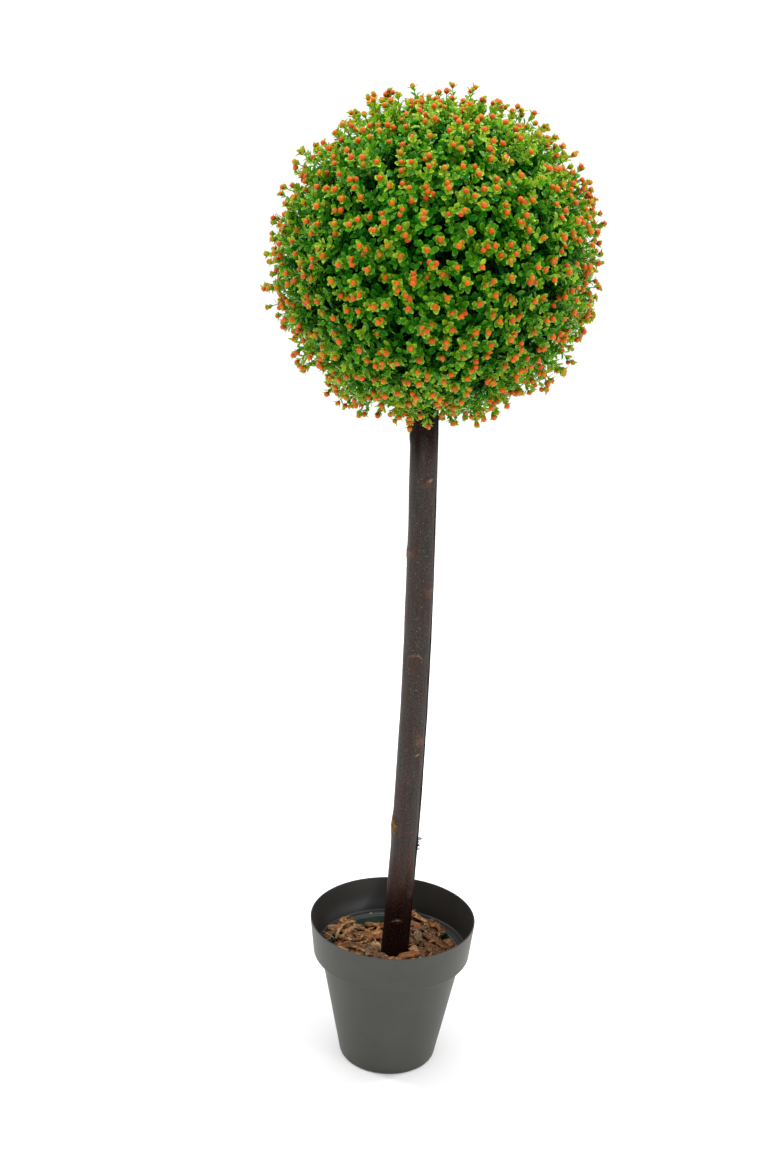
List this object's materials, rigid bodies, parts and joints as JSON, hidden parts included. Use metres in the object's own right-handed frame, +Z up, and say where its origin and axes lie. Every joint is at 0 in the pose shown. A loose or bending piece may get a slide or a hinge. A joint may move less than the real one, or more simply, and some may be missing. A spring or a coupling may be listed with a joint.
{
  "type": "artificial topiary ball tree",
  "caption": "Artificial lollipop topiary: a clipped ball of leafy, berried sprigs on a bare wooden stem, set in bark chips in a lined, collared pot.",
  "frame": {"origin": "centre of the pot's flat underside", "axes": "+Z up along the stem, -Y towards the front, +X to the right seen from the front"},
  "size_m": [0.3799, 0.3778, 1.1997],
  "materials": {
    "pot_plastic": "matte warm grey moulded plastic",
    "liner_plastic": "thin dark green nursery-pot plastic",
    "bark": "loose bark chips over set filling",
    "stem_wood": "dark natural stem with its thin bark on",
    "foliage": "moulded leafy sprigs tipped with berries"
  },
  "bodies": {
    "root": {"pot": "pot_plastic", "liner_pot": "liner_plastic", "bark_bed": "bark", "stem": "stem_wood", "crown": "foliage"}
  },
  "joints": []
}
